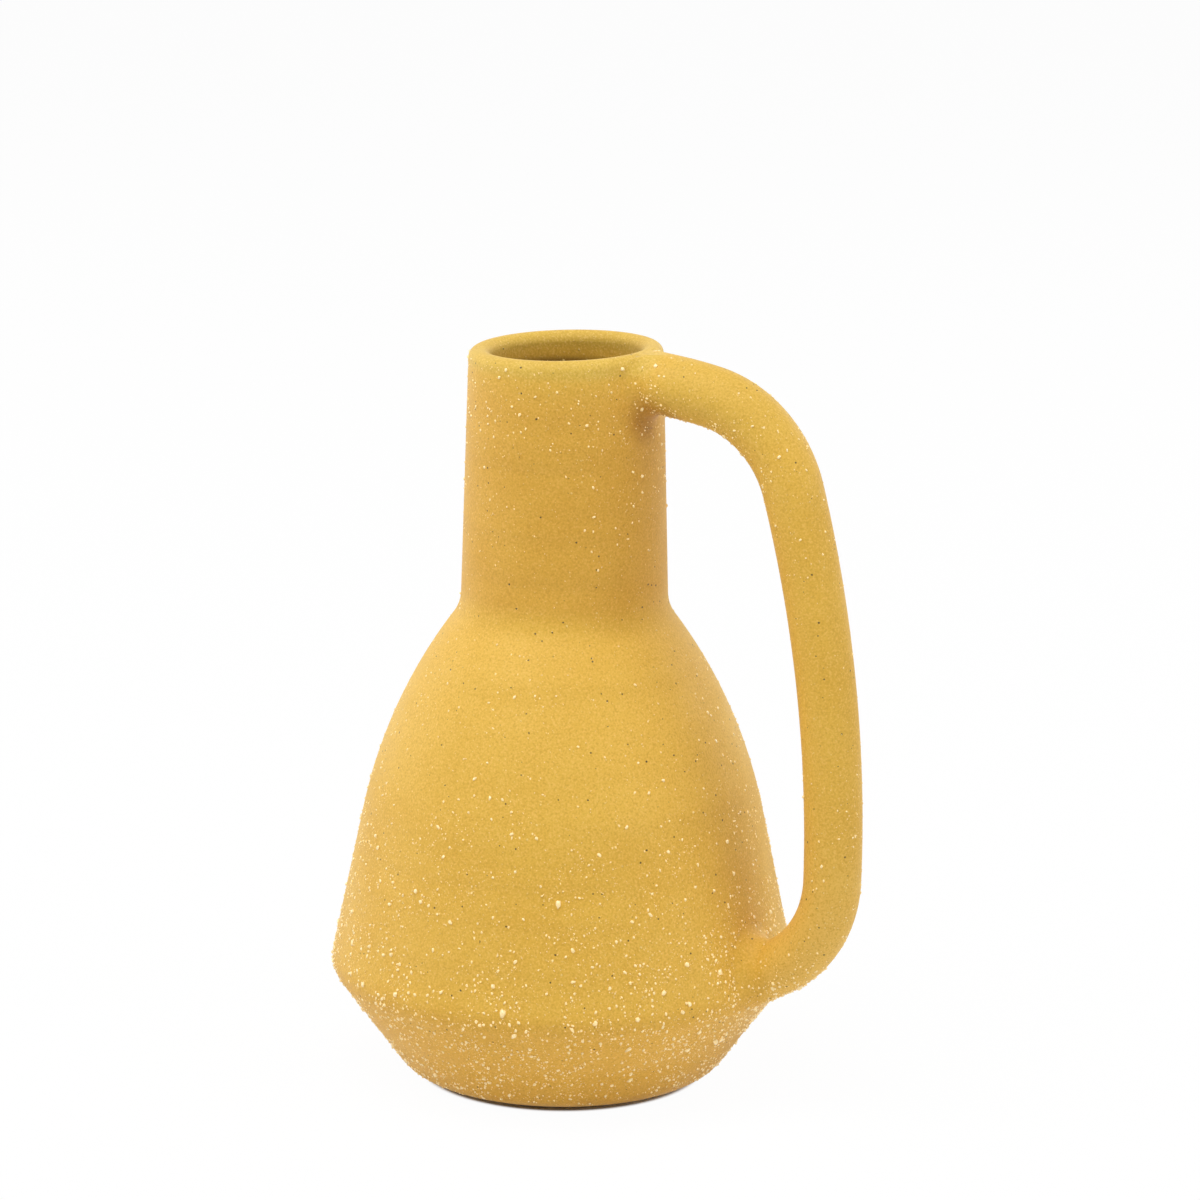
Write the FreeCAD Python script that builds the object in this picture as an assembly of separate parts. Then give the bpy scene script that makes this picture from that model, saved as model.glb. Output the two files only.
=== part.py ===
import FreeCAD, Part
import math
import os

# One-handled stoneware jug with a bevelled belly, a straight wide neck and a round coil handle.
# The frame's origin is on the jug's axis at the surface it stands on. +Z is up, and the handle
# leaves the neck and comes back to the belly in the XZ plane, on the +X side.

# Sizes of the belly, outside (millimetres)
base_radius = 50.0
base_round = 11.0
belly_radius = 75.3
bevel_rise = 34.8
belly_corner_round = 8.0
cone_rise = 86.0
shoulder_corner_radius = 57.4
shoulder_rise = 33.0
shoulder_round = 165.0

# Sizes of the neck and its lip
neck_foot_radius = 33.3
neck_top_radius = 30.9
neck_rise = 84.7
neck_wall = 6.6
lip_outer_round_share = 0.46
lip_inner_round_share = 0.46
rim_slope_deg = 2.0

# Walls inside
floor_thickness = 7.5
belly_wall = 6.5
floor_round = 12.0
inner_corner_round = 5.0
throat_round = 8.0

# Joint between neck and belly: a tongue in a rebate, sealed by a luted ring in a V groove
tongue_width = 2.2
tongue_depth = 3.0
luting_reach = 4.4
luting_depth = 1.9

# Bare foot ring, let into the underside
foot_stand = 1.5
foot_seat = 1.0
foot_inset = 7.6
foot_width = 7.0
foot_edge_round = 0.6

# Handle: a round coil that thins a little downwards, along two straight root runs with four
# tangent arcs between them
coil_upper_radius = 9.8
coil_lower_radius = 9.0
coil_top_rise = 0.8
coil_lap_share = 0.7
coil_embed = 12.0
upper_run = 9.0
upper_heading_deg = -4.6
upper_turn_deg = 5.2
top_bend_radius = 37.7
top_bend_turn_deg = 63.8
flank_turn_deg = 17.7
lower_bend_radius = 37.2
lower_bend_turn_deg = 58.5
lower_run = 9.0
lower_root_rise = 7.3

# Luted collars round the two roots of the handle
upper_collar_round = 5.0
lower_collar_round = 6.0

# Overrun of the tools that cut, and how near a seam's edge lies to both its surfaces
cut_overrun = 40.0
seam_tolerance = 0.0001

# Heights and places that follow
base_z = foot_stand
belly_corner_z = base_z + bevel_rise
shoulder_corner_z = belly_corner_z + cone_rise
crease_z = shoulder_corner_z + shoulder_rise
rim_z = crease_z + neck_rise
mouth_radius = neck_top_radius - neck_wall
throat_radius = neck_foot_radius - neck_wall
lip_outer_round = neck_wall * lip_outer_round_share
lip_inner_round = neck_wall * lip_inner_round_share
tongue_radius = throat_radius + tongue_width


def point(radius, height):
    return FreeCAD.Vector(radius, 0, height)


def toward(start, end, distance):
    """The point at a distance from start on the way to end."""
    way = end.sub(start)
    return start.add(way.multiply(distance / way.Length))


def meeting(a, b, c, d):
    """Where the line a-b meets the line c-d, in the XZ plane."""
    ab = b.sub(a)
    cd = d.sub(c)
    share = ((c.x - a.x) * cd.z - (c.z - a.z) * cd.x) / (ab.x * cd.z - ab.z * cd.x)
    return a.add(ab.multiply(share))


def inset_line(start, end, wall):
    """The line start-end moved by a wall's thickness to its left side, as two points."""
    way = end.sub(start).normalize()
    side = FreeCAD.Vector(-way.z, 0, way.x).multiply(wall)
    return start.add(side), end.add(side)


def turn_at(before, corner, after):
    """The angle by which an outline turns at a corner."""
    return before.sub(corner).getAngle(corner.sub(after))


def tangent_arc(start, corner, end):
    """The arc that rounds off a corner, from a start to an end equally far from it."""
    half_turn = turn_at(start, corner, end) / 2
    radius = start.distanceToPoint(corner) / math.tan(half_turn)
    chord_middle = start.add(end).multiply(0.5)
    middle = toward(chord_middle, corner, radius * (1 - math.cos(half_turn)))
    return Part.Arc(start, middle, end).toShape()


def rounded_edges(corners, roundings):
    """Lines through the corners, with a tangent arc of its own radius at each inner corner.

    Where two roundings don't fit on the run between them, both shrink alike.
    """
    last = len(corners) - 1
    reach = [0.0] * len(corners)
    for i in range(1, last):
        if roundings[i] > 0:
            half_turn = turn_at(corners[i - 1], corners[i], corners[i + 1]) / 2
            reach[i] = roundings[i] * abs(math.tan(half_turn))
    for i in range(last):
        run = corners[i].distanceToPoint(corners[i + 1])
        if reach[i] + reach[i + 1] > run * 0.98:
            fit = run * 0.98 / (reach[i] + reach[i + 1])
            reach[i] *= fit
            reach[i + 1] *= fit
    edges = []
    here = corners[0]
    for i in range(1, last):
        if reach[i] == 0:
            edges.append(Part.LineSegment(here, corners[i]).toShape())
            here = corners[i]
            continue
        start = toward(corners[i], corners[i - 1], reach[i])
        end = toward(corners[i], corners[i + 1], reach[i])
        edges.append(Part.LineSegment(here, start).toShape())
        edges.append(tangent_arc(start, corners[i], end))
        here = end
    edges.append(Part.LineSegment(here, corners[last]).toShape())
    return edges


def turned(outline):
    """A solid turned on the wheel: an outline of corners and their roundings, closed and revolved."""
    corners = [corner for corner, _ in outline]
    edges = rounded_edges(corners, [rounding for _, rounding in outline])
    edges.append(Part.LineSegment(corners[-1], corners[0]).toShape())
    face = Part.Face(Part.Wire(edges))
    return face.revolve(FreeCAD.Vector(), FreeCAD.Vector(0, 0, 1), 360).Solids[0]


# Corners of the outer outline
base_corner = point(base_radius, base_z)
belly_corner = point(belly_radius, belly_corner_z)
shoulder_corner = point(shoulder_corner_radius, shoulder_corner_z)
crease = point(neck_foot_radius, crease_z)
neck_top = point(neck_top_radius, rim_z)

# The luted ring touches the shoulder below the crease and the neck above it
luting_low = toward(crease, shoulder_corner, luting_reach)
luting_high = toward(crease, neck_top, luting_reach)
luting_root = point(neck_foot_radius - luting_depth, crease_z)

# The neck's wall keeps its thickness, so the bore narrows upward as the neck does
throat = point(throat_radius, crease_z - tongue_depth)
mouth = point(mouth_radius, rim_z)
tongue_low = point(tongue_radius, crease_z - tongue_depth)
tongue_high = point(tongue_radius, crease_z)


# The belly's outside, from the middle of the underside up to the crease, with its roundings
belly_outline = [
    (point(0, base_z), 0),
    (base_corner, base_round),
    (belly_corner, belly_corner_round),
    (shoulder_corner, shoulder_round),
]


def make_belly_outside():
    """The belly's outer shape, filled, for what is fitted against it."""
    return turned(belly_outline + [(crease, 0), (point(0, crease_z), 0)])


def make_belly():
    """The thrown belly, with its floor, bevel, cone and shoulder, open at the throat."""
    floor = inset_line(point(0, base_z), base_corner, floor_thickness)
    bevel = inset_line(base_corner, belly_corner, belly_wall)
    cone = inset_line(belly_corner, shoulder_corner, belly_wall)
    shoulder = inset_line(shoulder_corner, crease, belly_wall)
    below_throat = (throat, point(throat_radius, base_z))
    belly = turned(belly_outline + [
        (luting_low, 0),
        (luting_root, 0),
        (tongue_high, 0),
        (tongue_low, 0),
        (throat, 0),
        (meeting(*below_throat, *shoulder), throat_round),
        (meeting(*shoulder, *cone), shoulder_round - belly_wall),
        (meeting(*cone, *bevel), inner_corner_round),
        (meeting(*bevel, *floor), floor_round),
        (point(0, base_z + floor_thickness), 0),
    ])
    return belly.cut(ring_blank(foot_seat, 0))


def ring_blank(seat, stand):
    """A flat ring from a stand below the underside to a seat above it, at the foot's radii."""
    outer = Part.makeCylinder(base_radius - foot_inset, seat + stand, point(0, base_z - stand))
    inner = Part.makeCylinder(base_radius - foot_inset - foot_width, seat + stand, point(0, base_z - stand))
    return outer.cut(inner)


def make_foot_ring():
    """The bare ring that the jug stands on, with its two lower edges rubbed round."""
    ring = ring_blank(foot_seat, foot_stand)
    low_edges = [edge for edge in ring.Edges if edge.BoundBox.ZMax < foot_edge_round and edge.Closed]
    return ring.makeFillet(foot_edge_round, low_edges)


def make_neck():
    """The thrown neck, cut at a slant that rises toward the handle, with a rounded lip."""
    neck = turned([
        (throat, 0),
        (tongue_low, 0),
        (tongue_high, 0),
        (luting_root, 0),
        (luting_high, 0),
        (toward(crease, neck_top, neck_rise + cut_overrun), 0),
        (toward(throat, mouth, neck_rise + tongue_depth + cut_overrun), 0),
    ]).cut(above_rim())
    neck = neck.makeFillet(lip_outer_round, [rim_edge(neck, neck_top_radius)])
    return neck.makeFillet(lip_inner_round, [rim_edge(neck, mouth_radius)])


def above_rim():
    """All the space above the slanted plane of the rim."""
    side = 2 * (neck_foot_radius + cut_overrun)
    space = Part.makeBox(side, side, side, FreeCAD.Vector(-side / 2, -side / 2, rim_z))
    space.rotate(point(0, rim_z), FreeCAD.Vector(0, 1, 0), -rim_slope_deg)
    return space


def lip_core():
    """The column that the handle stays out of: it laps over a share of the lip's outer rounding."""
    return Part.makeCylinder(neck_top_radius - lip_outer_round * coil_lap_share, 2 * rim_z)


def rim_edge(neck, radius):
    """The closed edge of the neck's top whose length is nearest to a circle of a radius."""
    tops = [edge for edge in neck.Edges if edge.isClosed() and edge.CenterOfMass.z > rim_z - lip_outer_round]
    return min(tops, key=lambda edge: abs(edge.Length - 2 * math.pi * radius))


def arc_way(heading_deg, turn_deg):
    """How far an arc of radius 1 goes as its heading falls by a turn, in the XZ plane."""
    start = math.radians(heading_deg)
    end = math.radians(heading_deg - turn_deg)
    return FreeCAD.Vector(math.sin(start) - math.sin(end), 0, math.cos(end) - math.cos(start))


def direction(heading_deg):
    heading = math.radians(heading_deg)
    return FreeCAD.Vector(math.cos(heading), 0, math.sin(heading))


def coil_roots():
    """Where the coil's centre line meets the outsides of neck and belly."""
    rim_at_handle = rim_z + neck_top_radius * math.tan(math.radians(rim_slope_deg))
    root_z = rim_at_handle + coil_top_rise - coil_upper_radius
    land_z = belly_corner_z + lower_root_rise
    root = meeting(crease, neck_top, point(0, root_z), point(mouth_radius, root_z))
    landing = meeting(belly_corner, shoulder_corner, point(0, land_z), point(mouth_radius, land_z))
    return root, landing


def coil_arcs():
    """The heading, turn and radius of each arc of the coil, from the neck to the belly.

    The radii of the upper arm and of the flank are worked out so that the coil lands on the belly.
    """
    turns = [upper_turn_deg, top_bend_turn_deg, flank_turn_deg, lower_bend_turn_deg]
    headings = [upper_heading_deg - sum(turns[:count]) for count in range(len(turns))]
    upper, top_bend, flank, lower_bend = [arc_way(*pair) for pair in zip(headings, turns)]
    root, landing = coil_roots()
    runs = direction(upper_heading_deg) * upper_run + direction(headings[-1] - turns[-1]) * lower_run
    left = landing.sub(root).sub(runs).sub(top_bend * top_bend_radius).sub(lower_bend * lower_bend_radius)
    spread = upper.x * flank.z - upper.z * flank.x
    upper_arm_radius = (left.x * flank.z - left.z * flank.x) / spread
    flank_radius = (upper.x * left.z - upper.z * left.x) / spread
    return zip(headings, turns, (upper_arm_radius, top_bend_radius, flank_radius, lower_bend_radius))


def make_coil():
    """The whole rolled coil, with both its ends still inside the walls."""
    root, landing = coil_roots()
    way_in = direction(upper_heading_deg)
    upper_end = root.add(way_in * upper_run)
    here = upper_end
    edges = []
    for heading, turn, radius in coil_arcs():
        middle = here.add(arc_way(heading, turn / 2) * radius)
        end = here.add(arc_way(heading, turn) * radius)
        edges.append(Part.Arc(here, middle, end).toShape())
        here = end
    way_out = direction(heading - turn)
    sections = [
        Part.Wire(Part.makeCircle(coil_upper_radius, upper_end, way_in)),
        Part.Wire(Part.makeCircle(coil_lower_radius, here, way_out)),
    ]
    bent = Part.Wire(edges).makePipeShell(sections, True, True)
    start = root.sub(way_in * coil_embed)
    upper = Part.makeCylinder(coil_upper_radius, coil_embed + upper_run, start, way_in)
    lower = Part.makeCylinder(coil_lower_radius, lower_run + coil_embed, here, way_out)
    return bent.fuse([upper, lower])


def smeared_root(vessel, radius, root, heading_deg, run, rounding):
    """A vessel with a straight stub of the coil, and clay smeared round into the corner between them."""
    away = direction(heading_deg)
    stub = Part.makeCylinder(radius, coil_embed + run, root.sub(away * coil_embed), away)
    joined = vessel.fuse(stub)
    seam = [edge for edge in joined.Edges if lies_on(edge, vessel) and lies_on(edge, stub)]
    return joined.makeFillet(rounding, seam)


def lies_on(edge, solid):
    middle = edge.valueAt((edge.FirstParameter + edge.LastParameter) / 2)
    return solid.Shells[0].distToShape(Part.Vertex(middle))[0] < seam_tolerance


def make_upper_luting(coil):
    """The smear round the upper root, levelled off at the slanted plane of the rim."""
    tall_end = toward(crease, neck_top, neck_rise + cut_overrun)
    tall_neck = Part.makeCone(neck_foot_radius, tall_end.x, tall_end.z - crease_z, point(0, crease_z))
    root, _ = coil_roots()
    smeared = smeared_root(tall_neck, coil_upper_radius, root, upper_heading_deg, upper_run,
                           upper_collar_round)
    return smeared.cut(tall_neck).cut(coil).cut(above_rim())


def make_lower_luting(belly_outside, coil):
    """The smear round the lower root, which runs over the belly's corner onto the bevel."""
    last_heading, last_turn, _ = list(coil_arcs())[-1]
    outward = last_heading - last_turn + 180
    _, landing = coil_roots()
    smeared = smeared_root(belly_outside, coil_lower_radius, landing, outward, lower_run,
                           lower_collar_round)
    return smeared.cut(belly_outside).cut(coil)


def make_neck_luting():
    """The ring of clay in the groove between shoulder and neck, hollow where a finger drew round it."""
    face = Part.Face(Part.Wire([
        tangent_arc(luting_low, crease, luting_high),
        Part.LineSegment(luting_high, luting_root).toShape(),
        Part.LineSegment(luting_root, luting_low).toShape(),
    ]))
    return face.revolve(FreeCAD.Vector(), FreeCAD.Vector(0, 0, 1), 360)


def main():
    belly_outside = make_belly_outside()
    neck = make_neck()
    coil = make_coil()
    pieces = {
        "belly": make_belly(),
        "neck": neck,
        "neck_luting": make_neck_luting(),
        "handle": coil.cut(above_rim()).cut(lip_core()).cut(neck).cut(belly_outside),
        "upper_luting": make_upper_luting(coil),
        "lower_luting": make_lower_luting(belly_outside, coil),
        "foot_ring": make_foot_ring(),
    }
    os.makedirs("parts", exist_ok=True)
    for name, piece in pieces.items():
        solid = max(piece.Solids, key=lambda solid: solid.Volume)
        print(name, "valid" if solid.isValid() else "NOT VALID", len(piece.Solids), "solids",
              [round(each.Volume, 2) for each in piece.Solids])
        solid.exportStep("parts/" + name + ".step")


main()
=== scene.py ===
import bpy
import math
import numpy as np
from collections import namedtuple
from mathutils import Matrix, Vector, kdtree, noise


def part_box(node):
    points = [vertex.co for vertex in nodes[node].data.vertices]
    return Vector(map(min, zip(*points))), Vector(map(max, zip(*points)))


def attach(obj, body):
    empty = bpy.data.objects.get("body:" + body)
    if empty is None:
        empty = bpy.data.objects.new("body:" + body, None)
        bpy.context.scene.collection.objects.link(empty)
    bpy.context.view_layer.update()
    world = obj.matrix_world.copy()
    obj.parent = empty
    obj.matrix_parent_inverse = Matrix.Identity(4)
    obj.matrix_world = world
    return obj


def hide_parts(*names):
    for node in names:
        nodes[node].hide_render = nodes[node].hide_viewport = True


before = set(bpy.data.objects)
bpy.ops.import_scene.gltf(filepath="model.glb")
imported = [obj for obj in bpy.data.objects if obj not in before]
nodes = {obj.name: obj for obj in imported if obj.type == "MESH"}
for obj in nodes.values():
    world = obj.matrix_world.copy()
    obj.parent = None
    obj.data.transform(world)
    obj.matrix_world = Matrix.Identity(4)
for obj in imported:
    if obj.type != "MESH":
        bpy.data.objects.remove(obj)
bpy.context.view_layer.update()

# One-handled stoneware jug in a matte ochre glaze with raised cream grit. The frame's origin is on
# the jug's axis at the standing plane, +Z is up and the handle is on the +X side. Metres.

# Camera, which stands well back from the jug and looks a little down at it
camera_from_axis = 1.6894
camera_height = 0.5784
camera_lens = 162.9
camera_sensor = 36.0
camera_sees_to = 60.0
camera_pitch_deg = 14.01
camera_yaw_deg = -0.386
camera_roll_deg = 0.47
handle_swing_deg = 32.0

# Lamps: azimuth from the camera's side and elevation in degrees, and power in watts
lamps = (
    ("key from upper left", -45, 60, 18.0),
    ("overhead", 0, 78, 6.3),
    ("window from the left", -95, 12, 6.5),
    ("fill from the right", 60, 30, 9.4),
    ("edge from behind right", 130, 25, 8.8),
    ("edge from behind left", -135, 25, 6.0))
lamp_distance = 1.7
lamp_size = 1.2
room_light = 0.05

# Floor, which shows its own shade only in the dark slot under the base
floor_size = 14.0
floor_roughness = 0.9
shadow_inside = 0.0447
shadow_outside = 0.0471
floor_glow = 0.97

# Heights on the jug
rim_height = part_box("neck")[1].z
corner_height = 0.0363
# Depths inside the mouth between which the bore turns to painted shade, dark below
bore_lit_to = rim_height - 0.0085
bore_dark_from = rim_height - 0.0120

# Colours, as linear values
white = (1.0, 1.0, 1.0)
floor_white = (0.96, 0.96, 0.96)
ochre = (0.760, 0.445, 0.046)
ochre_deep = (0.680, 0.368, 0.031)
ochre_pale = (0.840, 0.528, 0.078)
ochre_dull = (0.650, 0.357, 0.032)
ochre_bright = (0.870, 0.540, 0.108)
# Painted shade on the upright neck, which takes less light from above than the belly
neck_painted_shade = (0.94, 0.875, 0.78)
# Painted shade on the bevel below the belly's corner, which faces down
bevel_painted_shade = (0.98, 0.92, 0.76)
# The lip's top made paler and whiter: partly thinner glaze at the rim, partly a painted highlight
lip_pale_and_highlight = (0.97, 1.06, 1.28)
# Painted shade on the top of the coil, which faces the lamps above
coil_top_painted_shade = (0.94, 0.96, 0.95)
# Painted shade inside the mouth, deeper than the lip
bore_painted_shade = (0.16, 0.10, 0.05)
# Painted shade under the handle's upper root
root_painted_shade = (0.70, 0.60, 0.43)
iron_brown = (0.030, 0.014, 0.004)
cream = (1.0, 0.74, 0.23)
cream_white = (1.0, 0.80, 0.40)
# Colour of the grit's painted glow
grit_painted_glow = (1.0, 0.72, 0.27)
stoneware = (0.30, 0.20, 0.125)
stoneware_deep = (0.20, 0.125, 0.075)
sand = (0.48, 0.38, 0.27)

# Zones of the glaze whose colour is changed: paler on the shoulder; painted light on the elbow; painted
# shade on the top of the coil, neck, bevel and bore; a paler lip, partly a painted highlight. A fade runs
# from where it starts to where it is full
Zone = namedtuple("Zone", "name tone share heights distances")
warm_zones = (
    Zone("shoulder", ochre_pale, 0.4, heights=[(0.085, 0.110), (0.158, 0.148)],
         distances=[(0.080, 0.076)]),
    # painted light: the handle's lower arm and elbow, which face down, made brighter
    Zone("elbow", ochre_bright, 0.6, heights=[(0.110, 0.060)], distances=[(0.078, 0.086)]))
tinted_zones = (
    # paler top of the lip: thinner glaze there, and partly a painted highlight
    Zone("lip", lip_pale_and_highlight, 1.0, heights=[(0.233, 0.237)], distances=[(0.040, 0.034)]),
    # painted shade: the top of the coil a little darker
    Zone("top of the coil", coil_top_painted_shade, 1.0, heights=[(0.212, 0.228)], distances=[(0.036, 0.046)]),
    # painted shade: the upright neck darker and deeper in colour
    Zone("neck", neck_painted_shade, 1.0, heights=[(0.155, 0.164), (0.236, 0.224)], distances=[(0.041, 0.035)]),
    # painted shade: the downward-facing bevel darker and deeper in colour
    Zone("bevel", bevel_painted_shade, 1.0, heights=[(0.044, 0.034)], distances=[(0.080, 0.076)]),
    # painted shade: the bore inside the mouth dark below the lip
    Zone("bore", bore_painted_shade, 1.0, heights=[(bore_lit_to, bore_dark_from), (0.004, 0.006)],
         distances=[(0.0285, 0.0275)]))

# Painted shade under the handle's upper root, where the coil shades the neck
root_shade_place = (0.037, -0.004, 0.2205)
root_shade_edge = 0.0125
root_shade_core = 0.0040

# Patches of the glaze, as many to the metre, and how strongly they and the fine grain show
patches = 38.0
patch_strength = 0.55
broad_patches = 11.0
broad_patch_strength = 0.45
grain_middle = 0.50
grain_span = 0.20
grain_strength = 0.80

# Spots in the glaze: cells to the metre, spot size as a share of its cell, and how strongly they show
dust_cells = 900.0
dust_size = 0.26
dust_everywhere = 0.16
dust_low_fade = (0.105, 0.060)
dust_high_fade = (0.160, 0.225)
dust_faintest = 0.3
dust_variety = 0.4
crumb_cells = 430.0
crumb_size = 0.16
crumb_to_dust = 0.55
crumb_strength = 0.85
pin_cells = 400.0
pin_size = 0.15
pin_share = 0.32
pin_strength = 0.9

# Roughness of the glaze, and its heights of relief
glaze_roughness = 0.55
patch_roughness = 0.10
grain_roughness = 0.12
wheel_rings = 85.0
wheel_relief = 0.0015
patch_relief = 0.0006
grain_relief = 0.00010
dust_relief = 0.00010
crumb_relief = 0.00018

# Surface of the grit under its skin of glaze, with a painted glow from a weak emission
grit_roughness = 0.34
grit_patches = 900.0
grit_patch_strength = 0.22
grit_relief = 0.00012
grit_coat = 1.0
grit_coat_roughness = 0.16
grit_coat_index = 1.65
grit_painted_glow_strength = 0.14

# Surface of the bare foot ring
clay_roughness = 0.85
clay_patches = 120.0
clay_patch_strength = 0.5
clay_relief = 0.00020
sand_cells = 1300.0
sand_share = 0.35
sand_size = 0.3
sand_strength = 0.5
sand_relief = 0.00015

# Soft sheen of dry clay and matte glaze
sheen_weight = 0.12
sheen_roughness = 0.45

# Structure of the noises: their scales to the metre, details and roughnesses
ripple_scale = 1400.0
ripple_detail = 1.0
ripple_reach = 0.00035
spot_smallest = 0.45
spot_variety = 0.75
spot_core = 0.55
ring_squash = (0.05, 0.05, 1.0)
ring_detail = 1.5
ring_roughness = 0.45
cloud_detail = 3.0
cloud_roughness = 0.55
cloud_edges = (0.3, 0.7)
grain_scale = 1500.0
grain_detail = 2.0
plain_roughness = 0.5

# Grains of grit to the square centimetre, up the body and up the handle, and on the smeared roots
body_grit = [
    (0.0, 0.0), (0.0035, 8.0), (0.007, 42.0), (0.011, 41.0), (0.027, 31.0), (0.0425, 31.0), (0.055, 26.0),
    (0.067, 20.0), (0.080, 26.0), (0.092, 21.0), (0.1045, 6.0), (0.116, 6.0), (0.127, 10.0), (0.138, 9.0),
    (0.149, 2.2), (0.161, 2.4), (0.177, 4.4), (0.193, 6.4), (0.209, 11.0), (0.225, 12.0), (0.240, 16.0)]
handle_grit = [
    (0.030, 30.0), (0.043, 23.0), (0.059, 13.0), (0.0755, 3.0), (0.100, 16.0), (0.116, 7.0),
    (0.132, 2.6), (0.164, 1.6), (0.196, 14.0), (0.2195, 34.0), (0.232, 14.0)]
smear_grit = 13.0
thinner_on_top = 0.8
square_cm_to_the_metre = 1e4

# Typical size of a grain up the jug, and how far sizes spread and crowd
grit_size = [(0.0, 0.00044), (0.020, 0.00045), (0.036, 0.00052), (0.055, 0.00045), (0.080, 0.00040),
             (0.150, 0.00033), (0.200, 0.00037), (0.240, 0.00040)]
grit_spread = 0.44
grit_smallest = 0.00024
grit_largest = 0.0022
grit_fine_below = 0.00060
grit_gap_share = 1.3

# How bare of glaze a grain is: by height, by its size, by chance, and more at its top. Low down the height
# makes grains barer and whiter, partly a painted highlight on the bevel
grit_bareness_and_bevel_highlight = [(0.0, 0.50), (0.032, 0.45), (0.046, 0.20), (0.240, 0.15)]
bare_from_size = 0.0004
bare_size_span = 0.0009
bare_by_size = 0.6
bare_by_chance = 0.16
bare_by_top = 0.55
bare_lowest = -0.3

# Drifts that the grit gathers in: patches to the metre, and how thin and how thick they are
body_drifts = 45.0
coil_drifts = 60.0
drift_thinnest = 0.25
drift_gain = 2.6
drift_middle = 0.27
broad_drift = 0.5
small_drift = 0.35
small_drift_scale = 2.7

# A grain's form: a ball of radius 1 tilted, cut flat below and merged to few corners
grain_tilt_deg = 31
grain_cut = (0, 0, -0.25)
grain_merge = 0.42
grain_turn = 0.7
grain_length = (1.0, 1.5)
grain_width = (0.75, 1.05)
grain_tallness = (0.70, 1.10)
grain_knobs = 0.15
never_zero = 1e-6

# Where grit lies: on faces that look outward, clear of the standing plane and the lip's crest
outward_from = 0.2
foot_clear = 0.003
lip_clear = 0.003

# Smeared roots of the handle: their boxes, and the distances from the axis where they dive under
upper_root_box = ((0.013, -0.026, 0.204), (0.054, 0.026, 0.250))
upper_root_core = 0.027
upper_root_reach = 0.046
lower_root_box = ((0.048, -0.027, 0.016), (0.098, 0.027, 0.074))
lower_root_core = 0.060
lower_root_reach = 0.091
root_margin = 0.004

# Clay of the smears: how finely it is worked, how far it is softened and how deep it dives
smear_voxel = 0.0005
smear_passes = 34
smear_softening = 0.5
smear_sink = 0.00006
smear_dive = 0.0007
core_fade = 0.0015
reach_fade = 0.002
seam_gap = 0.000002


def node(tree, kind, **settings):
    """A new node of a kind, with its settings."""
    made = tree.nodes.new(kind)
    for name, value in settings.items():
        setattr(made, name, value)
    return made


def feed(tree, socket, operand):
    """Give a socket a number, a vector or a colour, or the output of another node."""
    if isinstance(operand, bpy.types.NodeSocket):
        tree.links.new(operand, socket)
    elif socket.type == "RGBA":
        socket.default_value = operand + (1.0,)
    else:
        socket.default_value = operand


def feed_all(tree, made, **operands):
    """Feed a node's sockets by their names, with underscores for spaces; returns its outputs."""
    for name, operand in operands.items():
        feed(tree, made.inputs[name.replace("_", " ")], operand)
    return made.outputs


def calculate(tree, operation, *operands):
    """A Math node whose operands are numbers or sockets; returns its output."""
    made = node(tree, "ShaderNodeMath", operation=operation)
    for socket, operand in zip(made.inputs, operands):
        feed(tree, socket, operand)
    return made.outputs[0]


def calculate_vector(tree, operation, *operands):
    """A Vector Math node whose operands are vectors or sockets; returns its outputs."""
    made = node(tree, "ShaderNodeVectorMath", operation=operation)
    for socket, operand in zip(made.inputs, operands):
        feed(tree, socket, operand)
    return made.outputs


def remap(tree, value, start, full, highest=1.0):
    """A value faded smoothly in, from nothing at the start to the highest where it is full."""
    made = node(tree, "ShaderNodeMapRange", interpolation_type="SMOOTHSTEP")
    feed_all(tree, made, Value=value, From_Min=start, From_Max=full, To_Min=0.0, To_Max=highest)
    return made.outputs["Result"]


def mix_colour(tree, share, first, second, blend="MIX"):
    """A colour mix; the share is a socket, the colours are tuples or sockets."""
    made = node(tree, "ShaderNodeMix", data_type="RGBA", blend_type=blend)
    first_colour, second_colour, mixed = made.inputs[6], made.inputs[7], made.outputs[2]
    feed(tree, made.inputs["Factor"], share)
    feed(tree, first_colour, first)
    feed(tree, second_colour, second)
    return mixed


def make_noise(tree, vector, scale, detail, roughness=plain_roughness):
    """A Noise Texture; returns its outputs."""
    made = node(tree, "ShaderNodeTexNoise")
    return feed_all(tree, made, Vector=vector, Scale=scale, Detail=detail, Roughness=roughness)


def bump(tree, form, depth, below=None):
    """A Bump node of a real depth in metres, laid over another bump if there is one."""
    made = node(tree, "ShaderNodeBump")
    feed_all(tree, made, Distance=depth, Height=form)
    if below is not None:
        feed_all(tree, made, Normal=below)
    return made.outputs["Normal"]


def group_of(name, numbers, results):
    """A new shader node group that takes a vector and numbers: the group, what it is given and its end."""
    group = bpy.data.node_groups.new(name, "ShaderNodeTree")
    group.interface.new_socket("Vector", in_out="INPUT", socket_type="NodeSocketVector")
    for label in numbers:
        group.interface.new_socket(label, in_out="INPUT", socket_type="NodeSocketFloat")
    for label in results:
        group.interface.new_socket(label, in_out="OUTPUT", socket_type="NodeSocketFloat")
    return group, node(group, "NodeGroupInput").outputs, node(group, "NodeGroupOutput")


def use_group(tree, group, vector, **numbers):
    """A group placed in a material, fed with a vector and its own values; returns its results."""
    made = node(tree, "ShaderNodeGroup", node_tree=group)
    return feed_all(tree, made, Vector=vector, **numbers)


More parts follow.
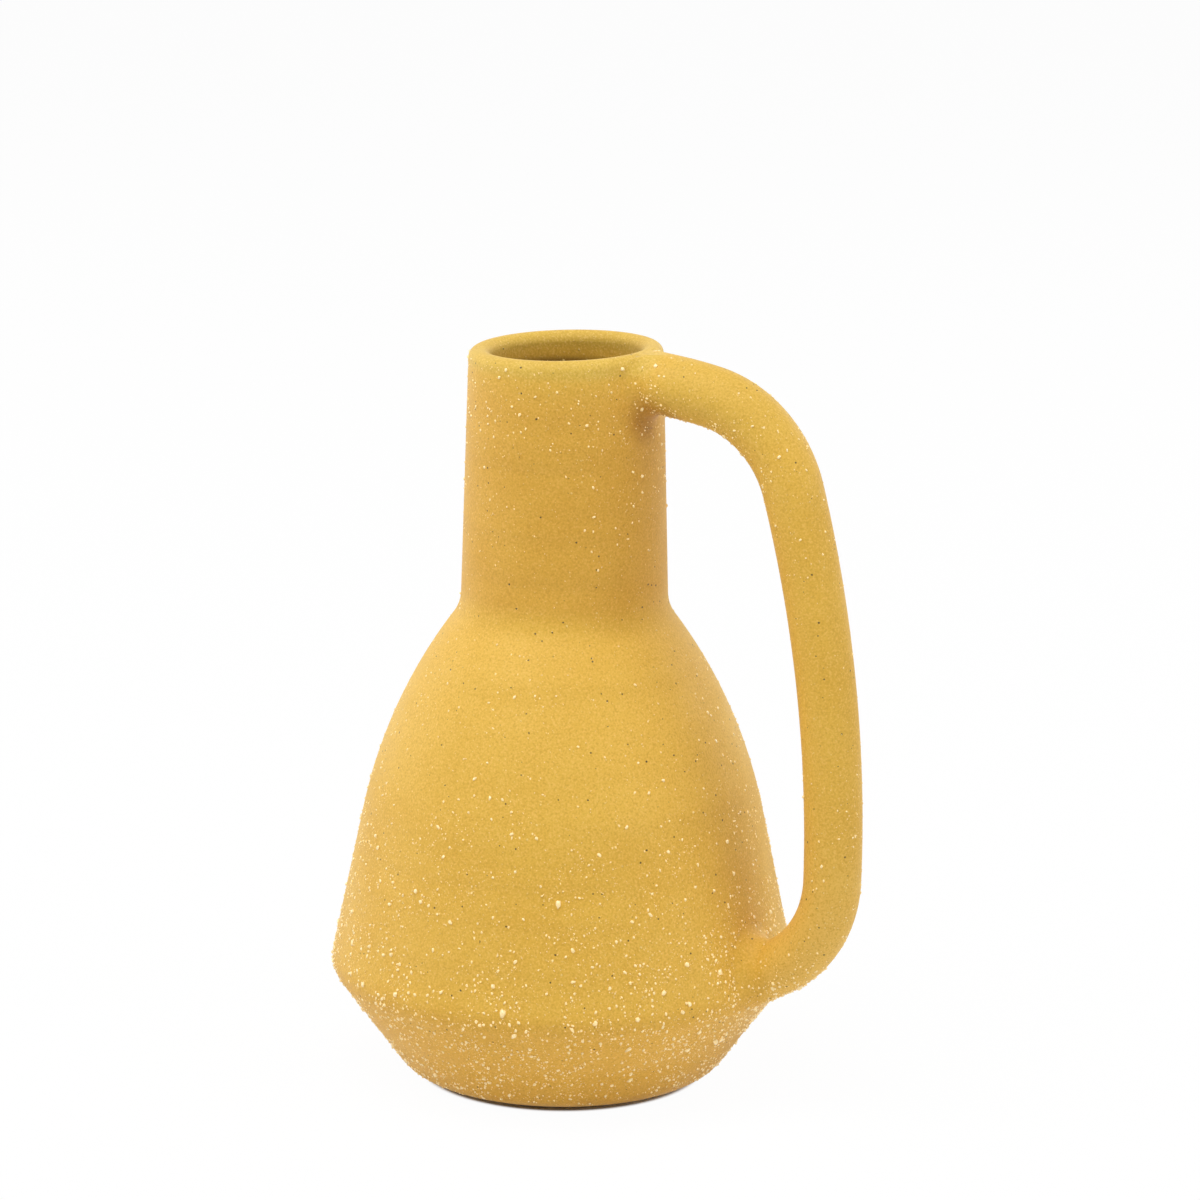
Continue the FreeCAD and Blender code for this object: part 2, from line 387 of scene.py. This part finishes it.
def make_speckle_group():
    """Small irregular spots scattered in space: each cell has one, or none, of its own size."""
    group, given, end = group_of("speckle", ("Cells per metre", "Share", "Spot size"), ("Mask", "Tone"))
    ripple = make_noise(group, given["Vector"], ripple_scale, ripple_detail)
    shaken = calculate_vector(group, "MULTIPLY_ADD", ripple["Color"], (ripple_reach,) * 3, given["Vector"])
    cells = feed_all(group, node(group, "ShaderNodeTexVoronoi"), Vector=shaken[0],
                     Scale=given["Cells per metre"])
    chance = feed_all(group, node(group, "ShaderNodeSeparateColor"), Color=cells["Color"])
    chosen = calculate(group, "LESS_THAN", chance["Red"], given["Share"])
    own_size = calculate(group, "MULTIPLY_ADD", chance["Green"], spot_variety, spot_smallest)
    size = calculate(group, "MULTIPLY", own_size, given["Spot size"])
    core = calculate(group, "MULTIPLY", size, spot_core)
    spot = remap(group, cells["Distance"], size, core)
    feed_all(group, end, Mask=calculate(group, "MULTIPLY", spot, chosen), Tone=chance["Blue"])
    return group


def make_wheel_marks_group():
    """Faint rings left by the potter's fingers: noise drawn out round the axis."""
    group, given, end = group_of("wheel marks", ("Rings per metre",), ("Height",))
    squashed = calculate_vector(group, "MULTIPLY", given["Vector"], ring_squash)
    rings = make_noise(group, squashed[0], given["Rings per metre"], ring_detail, ring_roughness)
    feed_all(group, end, Height=rings["Fac"])
    return group


def make_cloud_group():
    """Soft uneven patches, as where a matte glaze lies thicker or thinner, and a fine grain."""
    group, given, end = group_of("glaze cloud", ("Patches per metre",), ("Cloud", "Grain"))
    cloud = make_noise(group, given["Vector"], given["Patches per metre"], cloud_detail, cloud_roughness)
    grain = make_noise(group, given["Vector"], grain_scale, grain_detail)
    feed_all(group, end, Cloud=remap(group, cloud["Fac"], *cloud_edges), Grain=grain["Fac"])
    return group


def new_material(name, roughness):
    """A material with its Principled shader, its tree and the object's coordinates."""
    material = bpy.data.materials.new(name)
    material.use_nodes = True
    tree = material.node_tree
    shader = tree.nodes["Principled BSDF"]
    feed_all(tree, shader, Roughness=roughness, Sheen_Weight=sheen_weight, Sheen_Roughness=sheen_roughness)
    where = node(tree, "ShaderNodeTexCoord").outputs["Object"]
    return material, tree, shader, where


def lay_zones(tree, tone, height, distance, zones, blend):
    """A tone with the tones of zones laid over it, each as strong as its share and its fades say."""
    for zone in zones:
        strength = zone.share
        for value, fades in ((height, zone.heights), (distance, zone.distances)):
            for start, full in fades:
                strength = calculate(tree, "MULTIPLY", remap(tree, value, start, full), strength)
        tone = mix_colour(tree, strength, tone, zone.tone, blend)
        tone.node.label = zone.name
    return tone


def make_ochre_glaze(name, ring_relief, dust_low, dust_high):
    """The matte glaze: ochre with soft patches, cream dust that thickens downwards, iron pin spots, and
    painted light and shade laid on in zones and under the handle's upper root.
    """
    material, tree, shader, where = new_material(name, glaze_roughness)
    height = feed_all(tree, node(tree, "ShaderNodeSeparateXYZ"), Vector=where)["Z"]
    level = calculate_vector(tree, "MULTIPLY", where, (1.0, 1.0, 0.0))[0]
    distance = calculate_vector(tree, "LENGTH", level)["Value"]
    cloud = use_group(tree, cloud_group, where, Patches_per_metre=patches)
    broad = use_group(tree, cloud_group, where, Patches_per_metre=broad_patches)

    low_dust = calculate(tree, "MULTIPLY", remap(tree, height, *dust_low_fade), dust_low)
    high_dust = calculate(tree, "MULTIPLY_ADD", remap(tree, height, *dust_high_fade), dust_high,
                          dust_everywhere)
    share = calculate(tree, "ADD", low_dust, high_dust)
    dust = use_group(tree, speckle_group, where, Cells_per_metre=dust_cells, Share=share,
                     Spot_size=dust_size)
    crumbs = use_group(tree, speckle_group, where, Cells_per_metre=crumb_cells,
                       Share=calculate(tree, "MULTIPLY", share, crumb_to_dust), Spot_size=crumb_size)
    pins = use_group(tree, speckle_group, where, Cells_per_metre=pin_cells, Share=pin_share,
                     Spot_size=pin_size)

    tone = ochre
    for cover, strength, shade in ((cloud, patch_strength, ochre_deep),
                                   (broad, broad_patch_strength, ochre_pale)):
        tone = mix_colour(tree, calculate(tree, "MULTIPLY", cover["Cloud"], strength), tone, shade)
    # Shoulder made paler, and painted light on the handle's elbow
    tone = lay_zones(tree, tone, height, distance, warm_zones, "MIX")
    for span, shade in ((-grain_span, ochre_dull), (grain_span, ochre_bright)):
        fleck = remap(tree, cloud["Grain"], grain_middle, grain_middle + span, grain_strength)
        tone = mix_colour(tree, fleck, tone, shade)
    # Painted shade on the top of the coil, the neck, the bevel and the bore, and the lip's paler top,
    # partly a painted highlight
    tone = lay_zones(tree, tone, height, distance, tinted_zones, "MULTIPLY")
    # Painted shade under the handle's upper root, darkest at its middle
    to_root_shade = calculate_vector(tree, "DISTANCE", where, root_shade_place)["Value"]
    tone = mix_colour(tree, remap(tree, to_root_shade, root_shade_edge, root_shade_core), tone, root_painted_shade, "MULTIPLY")
    dust_strength = calculate(tree, "MULTIPLY_ADD", dust["Tone"], dust_variety, dust_faintest)
    for spots, strength, shade in ((dust, dust_strength, cream), (crumbs, crumb_strength, cream),
                                   (pins, pin_strength, iron_brown)):
        tone = mix_colour(tree, calculate(tree, "MULTIPLY", spots["Mask"], strength), tone, shade)

    roughness = calculate(tree, "MULTIPLY_ADD", cloud["Cloud"], patch_roughness, glaze_roughness)
    roughness = calculate(tree, "MULTIPLY_ADD", cloud["Grain"], grain_roughness, roughness)
    marks = use_group(tree, wheel_marks_group, where, Rings_per_metre=wheel_rings)
    relief = None
    for form, depth in ((marks["Height"], ring_relief), (broad["Cloud"], patch_relief),
                        (cloud["Grain"], grain_relief), (dust["Mask"], dust_relief),
                        (crumbs["Mask"], crumb_relief)):
        relief = bump(tree, form, depth, relief)
    feed_all(tree, shader, Base_Color=tone, Roughness=roughness, Normal=relief)
    return material


def make_grit_glaze():
    """Cream grit under a thin skin of glaze; how bare a grain is comes from its 'tone' attribute. A weak
    emission gives the grit a painted glow.
    """
    material, tree, shader, where = new_material("cream grit", grit_roughness)
    bareness = node(tree, "ShaderNodeAttribute", attribute_name="tone").outputs["Fac"]
    cloud = use_group(tree, cloud_group, where, Patches_per_metre=grit_patches)
    skin = calculate(tree, "MULTIPLY", cloud["Cloud"], grit_patch_strength)
    colour = mix_colour(tree, bareness, cream, cream_white)
    colour = mix_colour(tree, skin, colour, ochre_pale)
    # The emission is a painted glow that brightens the grit
    feed_all(tree, shader, Base_Color=colour, Normal=bump(tree, cloud["Grain"], grit_relief),
             Coat_Weight=grit_coat, Coat_Roughness=grit_coat_roughness, Coat_IOR=grit_coat_index,
             Emission_Color=grit_painted_glow, Emission_Strength=grit_painted_glow_strength)
    return material


def make_bare_clay():
    """The unglazed stoneware of the foot ring: grey-brown, rough, with sandy grain."""
    material, tree, shader, where = new_material("bare stoneware", clay_roughness)
    cloud = use_group(tree, cloud_group, where, Patches_per_metre=clay_patches)
    grains = use_group(tree, speckle_group, where, Cells_per_metre=sand_cells, Share=sand_share,
                       Spot_size=sand_size)
    colour = mix_colour(tree, calculate(tree, "MULTIPLY", cloud["Cloud"], clay_patch_strength),
                        stoneware, stoneware_deep)
    colour = mix_colour(tree, calculate(tree, "MULTIPLY", grains["Mask"], sand_strength), colour, sand)
    relief = bump(tree, cloud["Grain"], clay_relief)
    relief = bump(tree, grains["Mask"], sand_relief, relief)
    feed_all(tree, shader, Base_Color=colour, Normal=relief)
    return material


def dress(piece, material):
    """The piece's faces all take one material."""
    piece.data.materials.clear()
    piece.data.materials.append(material)


def by_height(height, steps):
    """A value read from rising (height, value) steps, straight between them."""
    return np.interp(height, *zip(*steps))


def clumps(place, scale):
    """How the grit gathers in drifts, by noise in space: thinnest between them, to about 2 in them."""
    drift = noise.noise(place * scale) * broad_drift
    drift += noise.noise(place * scale * small_drift_scale) * small_drift
    return drift_thinnest + drift_gain * max(0.0, drift + drift_middle)


def body_thickness(place, facing):
    """Grit to the square centimetre on what was thrown."""
    return by_height(place.z, body_grit) * clumps(place, body_drifts)


def handle_thickness(place, facing):
    """Grit on the coil: thickest under the arms of the handle, where it hangs over, and thin on top."""
    return by_height(place.z, handle_grit) * clumps(place, coil_drifts) * (1.0 - thinner_on_top * facing[2])


def smear_thickness(place, facing):
    """Grit on the smeared roots."""
    return smear_grit * clumps(place, coil_drifts)


def outside_of_body(middles, normals):
    """Faces of belly and neck that look away from the axis, below the lip's crest."""
    outward = middles[:, 0] * normals[:, 0] + middles[:, 1] * normals[:, 1]
    radial = outward / np.hypot(middles[:, 0], middles[:, 1])
    height = middles[:, 2]
    return (radial > outward_from) & (height > foot_clear) & (height < rim_height - lip_clear)


def on_the_cone(middles, normals):
    """Outward faces above the belly's corner."""
    return outside_of_body(middles, normals) & (middles[:, 2] >= corner_height)


def on_the_bevel(middles, normals):
    """Outward faces below the belly's corner."""
    return outside_of_body(middles, normals) & (middles[:, 2] < corner_height)


def all_over(middles, normals):
    """All faces."""
    return np.ones(len(middles), dtype=bool)


def within(low, high):
    """A test for outward faces that lie well inside a box."""
    def keep(middles, normals):
        inside = (middles > np.array(low) + root_margin) & (middles < np.array(high) - root_margin)
        return outside_of_body(middles, normals) & inside.all(axis=1)
    return keep


def outer_triangles(source, keep):
    """Corners, unit normals and areas of a piece's triangles that a test on middle and normal keeps."""
    mesh = source.data
    mesh.calc_loop_triangles()
    corners = np.empty(len(mesh.vertices) * 3)
    mesh.vertices.foreach_get("co", corners)
    which = np.empty(len(mesh.loop_triangles) * 3, dtype=np.int64)
    mesh.loop_triangles.foreach_get("vertices", which)
    triangles = corners.reshape(-1, 3)[which.reshape(-1, 3)]
    across = np.cross(triangles[:, 1] - triangles[:, 0], triangles[:, 2] - triangles[:, 0])
    twice_area = np.linalg.norm(across, axis=1)
    real = twice_area > 0
    triangles, across, twice_area = triangles[real], across[real], twice_area[real]
    normals = across / twice_area[:, None]
    kept = keep(triangles.mean(axis=1), normals)
    return triangles[kept], normals[kept], twice_area[kept] / 2


def scatter(triangles, areas, per_square_cm, chance):
    """Places strewn over triangles, so many to the square centimetre of each, and their triangles."""
    wanted = areas * square_cm_to_the_metre * np.array(per_square_cm)
    picked = np.repeat(np.arange(len(areas)), chance.poisson(wanted))
    share_a, share_b = chance.random((2, len(picked)))
    fold = share_a + share_b > 1
    share_a[fold], share_b[fold] = 1 - share_a[fold], 1 - share_b[fold]
    corner = triangles[picked]
    places = (corner[:, 0] + share_a[:, None] * (corner[:, 1] - corner[:, 0])
              + share_b[:, None] * (corner[:, 2] - corner[:, 0]))
    return places, picked


def spread_out(places, sizes):
    """Which grains stay, so that none lies on one that came before it."""
    near = kdtree.KDTree(len(places))
    for number, place in enumerate(places):
        near.insert(place, number)
    near.balance()
    stays = np.ones(len(places), dtype=bool)
    for number, place in enumerate(places):
        for _, other, _ in near.find_range(place, sizes[number] * grit_gap_share):
            if other < number and stays[other]:
                stays[number] = False
    return stays


def crumb_shape(facets):
    """One grain of grit, a knobbly dome cut flat below: its corners and faces."""
    bpy.ops.object.select_all(action="DESELECT")
    bpy.ops.mesh.primitive_ico_sphere_add(subdivisions=facets, radius=1.0)
    crumb = bpy.context.object
    bpy.ops.object.mode_set(mode="EDIT")
    bpy.ops.mesh.select_all(action="SELECT")
    bpy.ops.transform.rotate(value=math.radians(grain_tilt_deg), orient_axis="X", center_override=(0, 0, 0))
    bpy.ops.mesh.bisect(plane_co=grain_cut, plane_no=(0, 0, 1), clear_inner=True, use_fill=True)
    bpy.ops.mesh.select_all(action="SELECT")
    bpy.ops.mesh.remove_doubles(threshold=grain_merge)
    bpy.ops.mesh.quads_convert_to_tris()
    bpy.ops.object.mode_set(mode="OBJECT")
    shape = np.array([list(corner.co) for corner in crumb.data.vertices])
    faces = np.array([list(face.vertices) for face in crumb.data.polygons])
    bpy.data.objects.remove(crumb)
    return shape, faces


def pressed_in(shape, faces, places, up, sizes, chance):
    """Copies of one grain on the surface, each with its own size, turn, knobs and bareness."""
    grains = len(places)
    down_slope = np.cross(np.cross(up, (0, 0, 1.0)), up) + never_zero
    down_slope /= np.linalg.norm(down_slope, axis=1)[:, None]
    turn = chance.normal(0, grain_turn, grains)[:, None]
    along = down_slope * np.cos(turn) + np.cross(up, down_slope) * np.sin(turn)
    along /= np.linalg.norm(along, axis=1)[:, None]
    across = np.cross(up, along)
    halves = [sizes / 2 * chance.uniform(*span, grains)
              for span in (grain_length, grain_width, grain_tallness)]
    knobs = shape[None] * (1 + chance.normal(0, grain_knobs, (grains, len(shape), 1)))
    corners = places[:, None]
    for side, (way, half) in enumerate(zip((along, across, up), halves)):
        corners = corners + knobs[:, :, side:side + 1] * way[:, None] * half[:, None, None]
    loops = faces[None] + (np.arange(grains) * len(shape))[:, None, None]
    bare = np.clip((sizes - bare_from_size) / bare_size_span, 0, 1) * bare_by_size
    # bareness by height, with a painted highlight that whitens the grains low on the bevel
    bare += by_height(places[:, 2], grit_bareness_and_bevel_highlight)
    bare += chance.normal(0, bare_by_chance, grains)
    tone = np.clip(bare[:, None] + bare_by_top * np.clip(knobs[:, :, 2], bare_lowest, 1), 0, 1)
    return corners.reshape(-1, 3), loops.reshape(-1, 3), tone.reshape(-1)


def strew_grit(name, source, keep, thickness, seed):
    """Grains of grit strewn over a piece's outside, as thick as a function of place and facing says."""
    chance = np.random.default_rng(seed)
    triangles, normals, areas = outer_triangles(source, keep)
    middles = triangles.mean(axis=1)
    per_square_cm = [thickness(Vector(middle), facing) for middle, facing in zip(middles, normals)]
    places, picked = scatter(triangles, areas, per_square_cm, chance)
    up = normals[picked]
    sizes = by_height(places[:, 2], grit_size) * np.exp(grit_spread * chance.standard_normal(len(places)))
    sizes = np.clip(sizes, grit_smallest, grit_largest)
    order = np.argsort(-sizes)
    places, up, sizes = places[order], up[order], sizes[order]
    stays = spread_out(places, sizes)
    places, up, sizes = places[stays], up[stays], sizes[stays]
    corners, loops, tones, used = [], [], [], 0
    for facets, chosen in ((1, sizes < grit_fine_below), (2, sizes >= grit_fine_below)):
        made = pressed_in(*crumb_shape(facets), places[chosen], up[chosen], sizes[chosen], chance)
        corners.append(made[0])
        loops.append(made[1] + used)
        tones.append(made[2])
        used += len(made[0])
    mesh = bpy.data.meshes.new(name)
    mesh.from_pydata(np.concatenate(corners), [], np.concatenate(loops))
    mesh.polygons.foreach_set("use_smooth", np.ones(len(mesh.polygons), dtype=bool))
    mesh.attributes.new("tone", "FLOAT", "POINT").data.foreach_set("value", np.concatenate(tones))
    mesh.update()
    piece = bpy.data.objects.new(name, mesh)
    bpy.context.scene.collection.objects.link(piece)
    dress(piece, grit_glaze)
    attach(piece, "root")


def cut_out(name, node_name, planes):
    """A copy of a node, its seams closed, cut off at planes and closed again by flat faces."""
    piece = bpy.data.objects.new(name, nodes[node_name].data.copy())
    bpy.context.scene.collection.objects.link(piece)
    bpy.ops.object.select_all(action="DESELECT")
    piece.select_set(True)
    bpy.context.view_layer.objects.active = piece
    bpy.ops.object.mode_set(mode="EDIT")
    bpy.ops.mesh.select_all(action="SELECT")
    bpy.ops.mesh.remove_doubles(threshold=seam_gap)
    bpy.ops.mesh.normals_make_consistent(inside=False)
    for place, keep_side in planes:
        bpy.ops.mesh.select_all(action="SELECT")
        bpy.ops.mesh.bisect(plane_co=place, plane_no=keep_side, clear_inner=True, use_fill=True)
    bpy.ops.object.mode_set(mode="OBJECT")
    return piece


def smear_root(name, node_names, replaced, low, high, core, reach):
    """One skin over the pieces that meet at a root, softened, which shows only in the corners between.

    It keeps to the box from low to high, and dives under the pieces nearer to the axis than the core
    radius and further from it than the reach.
    """
    planes = [(low, side) for side in ((1, 0, 0), (0, 0, 1), (0, 1, 0))]
    planes += [(high, side) for side in ((-1, 0, 0), (0, 0, -1), (0, -1, 0))]
    copies = [cut_out(name, node_name, planes) for node_name in node_names]
    bpy.ops.object.select_all(action="DESELECT")
    for copy in copies:
        copy.select_set(True)
    bpy.context.view_layer.objects.active = copies[0]
    bpy.ops.object.join()
    smear = bpy.context.object
    smear.name = name
    smear.data.remesh_voxel_size = smear_voxel
    bpy.ops.object.voxel_remesh()
    soften = smear.modifiers.new("soften", "SMOOTH")
    soften.factor = smear_softening
    soften.iterations = smear_passes
    bpy.ops.object.modifier_apply(modifier=soften.name)
    corners = np.empty(len(smear.data.vertices) * 3)
    smear.data.vertices.foreach_get("co", corners)
    corners = corners.reshape(-1, 3)
    facing = np.array([list(corner.normal) for corner in smear.data.vertices])
    radius = np.hypot(corners[:, 0], corners[:, 1])
    before_core = np.clip((core - radius) / core_fade, 0, 1)
    past_reach = np.clip((radius - reach) / reach_fade, 0, 1)
    corners -= facing * (smear_sink + smear_dive * np.maximum(before_core, past_reach))[:, None]
    smear.data.vertices.foreach_set("co", corners.reshape(-1))
    smear.data.update()
    smear.data.shade_smooth()
    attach(smear, "root")
    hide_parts(replaced)
    return smear


def dress_jug():
    """Materials for the thrown and rolled pieces, the smeared roots, and grit for all the outsides."""
    thrown_glaze = make_ochre_glaze("ochre glaze, thrown", wheel_relief, dust_low=0.50, dust_high=0.20)
    coil_glaze = make_ochre_glaze("ochre glaze, rolled", 0.0, dust_low=0.35, dust_high=0.25)
    for name in ("belly", "neck", "neck_luting"):
        dress(nodes[name], thrown_glaze)
    for name in ("handle", "upper_luting", "lower_luting"):
        dress(nodes[name], coil_glaze)
    dress(nodes["foot_ring"], make_bare_clay())
    upper_smear = smear_root("upper_smear", ("neck", "handle", "upper_luting"), "upper_luting",
                             *upper_root_box, upper_root_core, upper_root_reach)
    lower_smear = smear_root("lower_smear", ("belly", "handle", "lower_luting"), "lower_luting",
                             *lower_root_box, lower_root_core, lower_root_reach)
    dress(upper_smear, coil_glaze)
    dress(lower_smear, coil_glaze)
    for name, source, keep, thickness, seed in (
            ("belly_grit", nodes["belly"], on_the_cone, body_thickness, 11),
            ("bevel_grit", nodes["belly"], on_the_bevel, body_thickness, 10),
            ("neck_grit", nodes["neck"], outside_of_body, body_thickness, 12),
            ("handle_grit", nodes["handle"], all_over, handle_thickness, 13),
            ("neck_luting_grit", nodes["neck_luting"], outside_of_body, body_thickness, 20),
            ("upper_luting_grit", upper_smear, within(*upper_root_box), smear_thickness, 21),
            ("lower_luting_grit", lower_smear, within(*lower_root_box), smear_thickness, 22)):
        strew_grit(name, source, keep, thickness, seed)


def seen_as_backdrop(tree):
    """1 for the rays that the camera sees a backdrop by: straight, in a reflection or through glass."""
    ray = node(tree, "ShaderNodeLightPath")
    seen = calculate(tree, "MAXIMUM", ray.outputs["Is Camera Ray"], ray.outputs["Is Glossy Ray"])
    return calculate(tree, "MAXIMUM", seen, ray.outputs["Is Transmission Ray"])


def lay_floor():
    """A wide pale floor that the camera sees as white, with the jug's shadow kept."""
    bpy.ops.object.select_all(action="DESELECT")
    bpy.ops.mesh.primitive_plane_add(size=floor_size, location=(0, 0, 0))
    floor = bpy.context.object
    floor.name = "floor"
    material = bpy.data.materials.new("pale floor")
    material.use_nodes = True
    tree = material.node_tree
    shader = tree.nodes["Principled BSDF"]
    feed_all(tree, shader, Base_Color=floor_white, Roughness=floor_roughness)
    glow = feed_all(tree, node(tree, "ShaderNodeEmission"), Color=white)
    spot = node(tree, "ShaderNodeTexCoord").outputs["Object"]
    away = calculate_vector(tree, "LENGTH", spot)["Value"]
    share = remap(tree, away, shadow_inside, shadow_outside, floor_glow)
    blend = node(tree, "ShaderNodeMixShader")
    glow_share, plain_floor, glowing_floor = blend.inputs
    feed(tree, glow_share, calculate(tree, "MULTIPLY", seen_as_backdrop(tree), share))
    feed(tree, plain_floor, shader.outputs[0])
    feed(tree, glowing_floor, glow[0])
    feed_all(tree, tree.nodes["Material Output"], Surface=blend.outputs[0])
    dress(floor, material)


def light_world():
    """An even white room: plain light for the jug, white for what the camera sees of it."""
    world = bpy.data.worlds.new("studio")
    bpy.context.scene.world = world
    world.use_nodes = True
    tree = world.node_tree
    strength = calculate(tree, "MAXIMUM", seen_as_backdrop(tree), room_light)
    feed_all(tree, tree.nodes["Background"], Color=white, Strength=strength)


def hang_lamp(name, azimuth_deg, elevation_deg, power):
    """A soft square lamp that faces the jug, its azimuth taken from the camera's side."""
    azimuth = math.radians(azimuth_deg + handle_swing_deg)
    elevation = math.radians(elevation_deg)
    target = Vector((0, 0, rim_height / 2))
    way = Vector((math.sin(azimuth) * math.cos(elevation), -math.cos(azimuth) * math.cos(elevation),
                  math.sin(elevation)))
    lamp = bpy.data.lights.new(name, "AREA")
    lamp.size = lamp_size
    lamp.energy = power
    hung = bpy.data.objects.new(name, lamp)
    hung.location = target + way * lamp_distance
    hung.rotation_euler = way.to_track_quat("Z", "Y").to_euler()
    bpy.context.scene.collection.objects.link(hung)


def set_camera():
    """The camera of the photograph, turned about the jug's axis so that the handle is on +X."""
    swing = math.radians(handle_swing_deg)
    turn = (Matrix.Rotation(swing + math.radians(camera_yaw_deg), 4, "Z")
            @ Matrix.Rotation(math.radians(90 - camera_pitch_deg), 4, "X")
            @ Matrix.Rotation(math.radians(camera_roll_deg), 4, "Z"))
    place = Matrix.Translation((camera_from_axis * math.sin(swing), -camera_from_axis * math.cos(swing),
                                camera_height))
    lens = bpy.data.cameras.new("camera")
    lens.sensor_width = camera_sensor
    lens.lens = camera_lens
    lens.clip_end = camera_sees_to
    camera = bpy.data.objects.new("camera", lens)
    camera.matrix_world = place @ turn
    bpy.context.scene.collection.objects.link(camera)
    bpy.context.scene.camera = camera


speckle_group = make_speckle_group()
wheel_marks_group = make_wheel_marks_group()
cloud_group = make_cloud_group()
grit_glaze = make_grit_glaze()
dress_jug()
lay_floor()
light_world()
for lamp in lamps:
    hang_lamp(*lamp)
set_camera()
bpy.context.scene.view_settings.view_transform = "Standard"
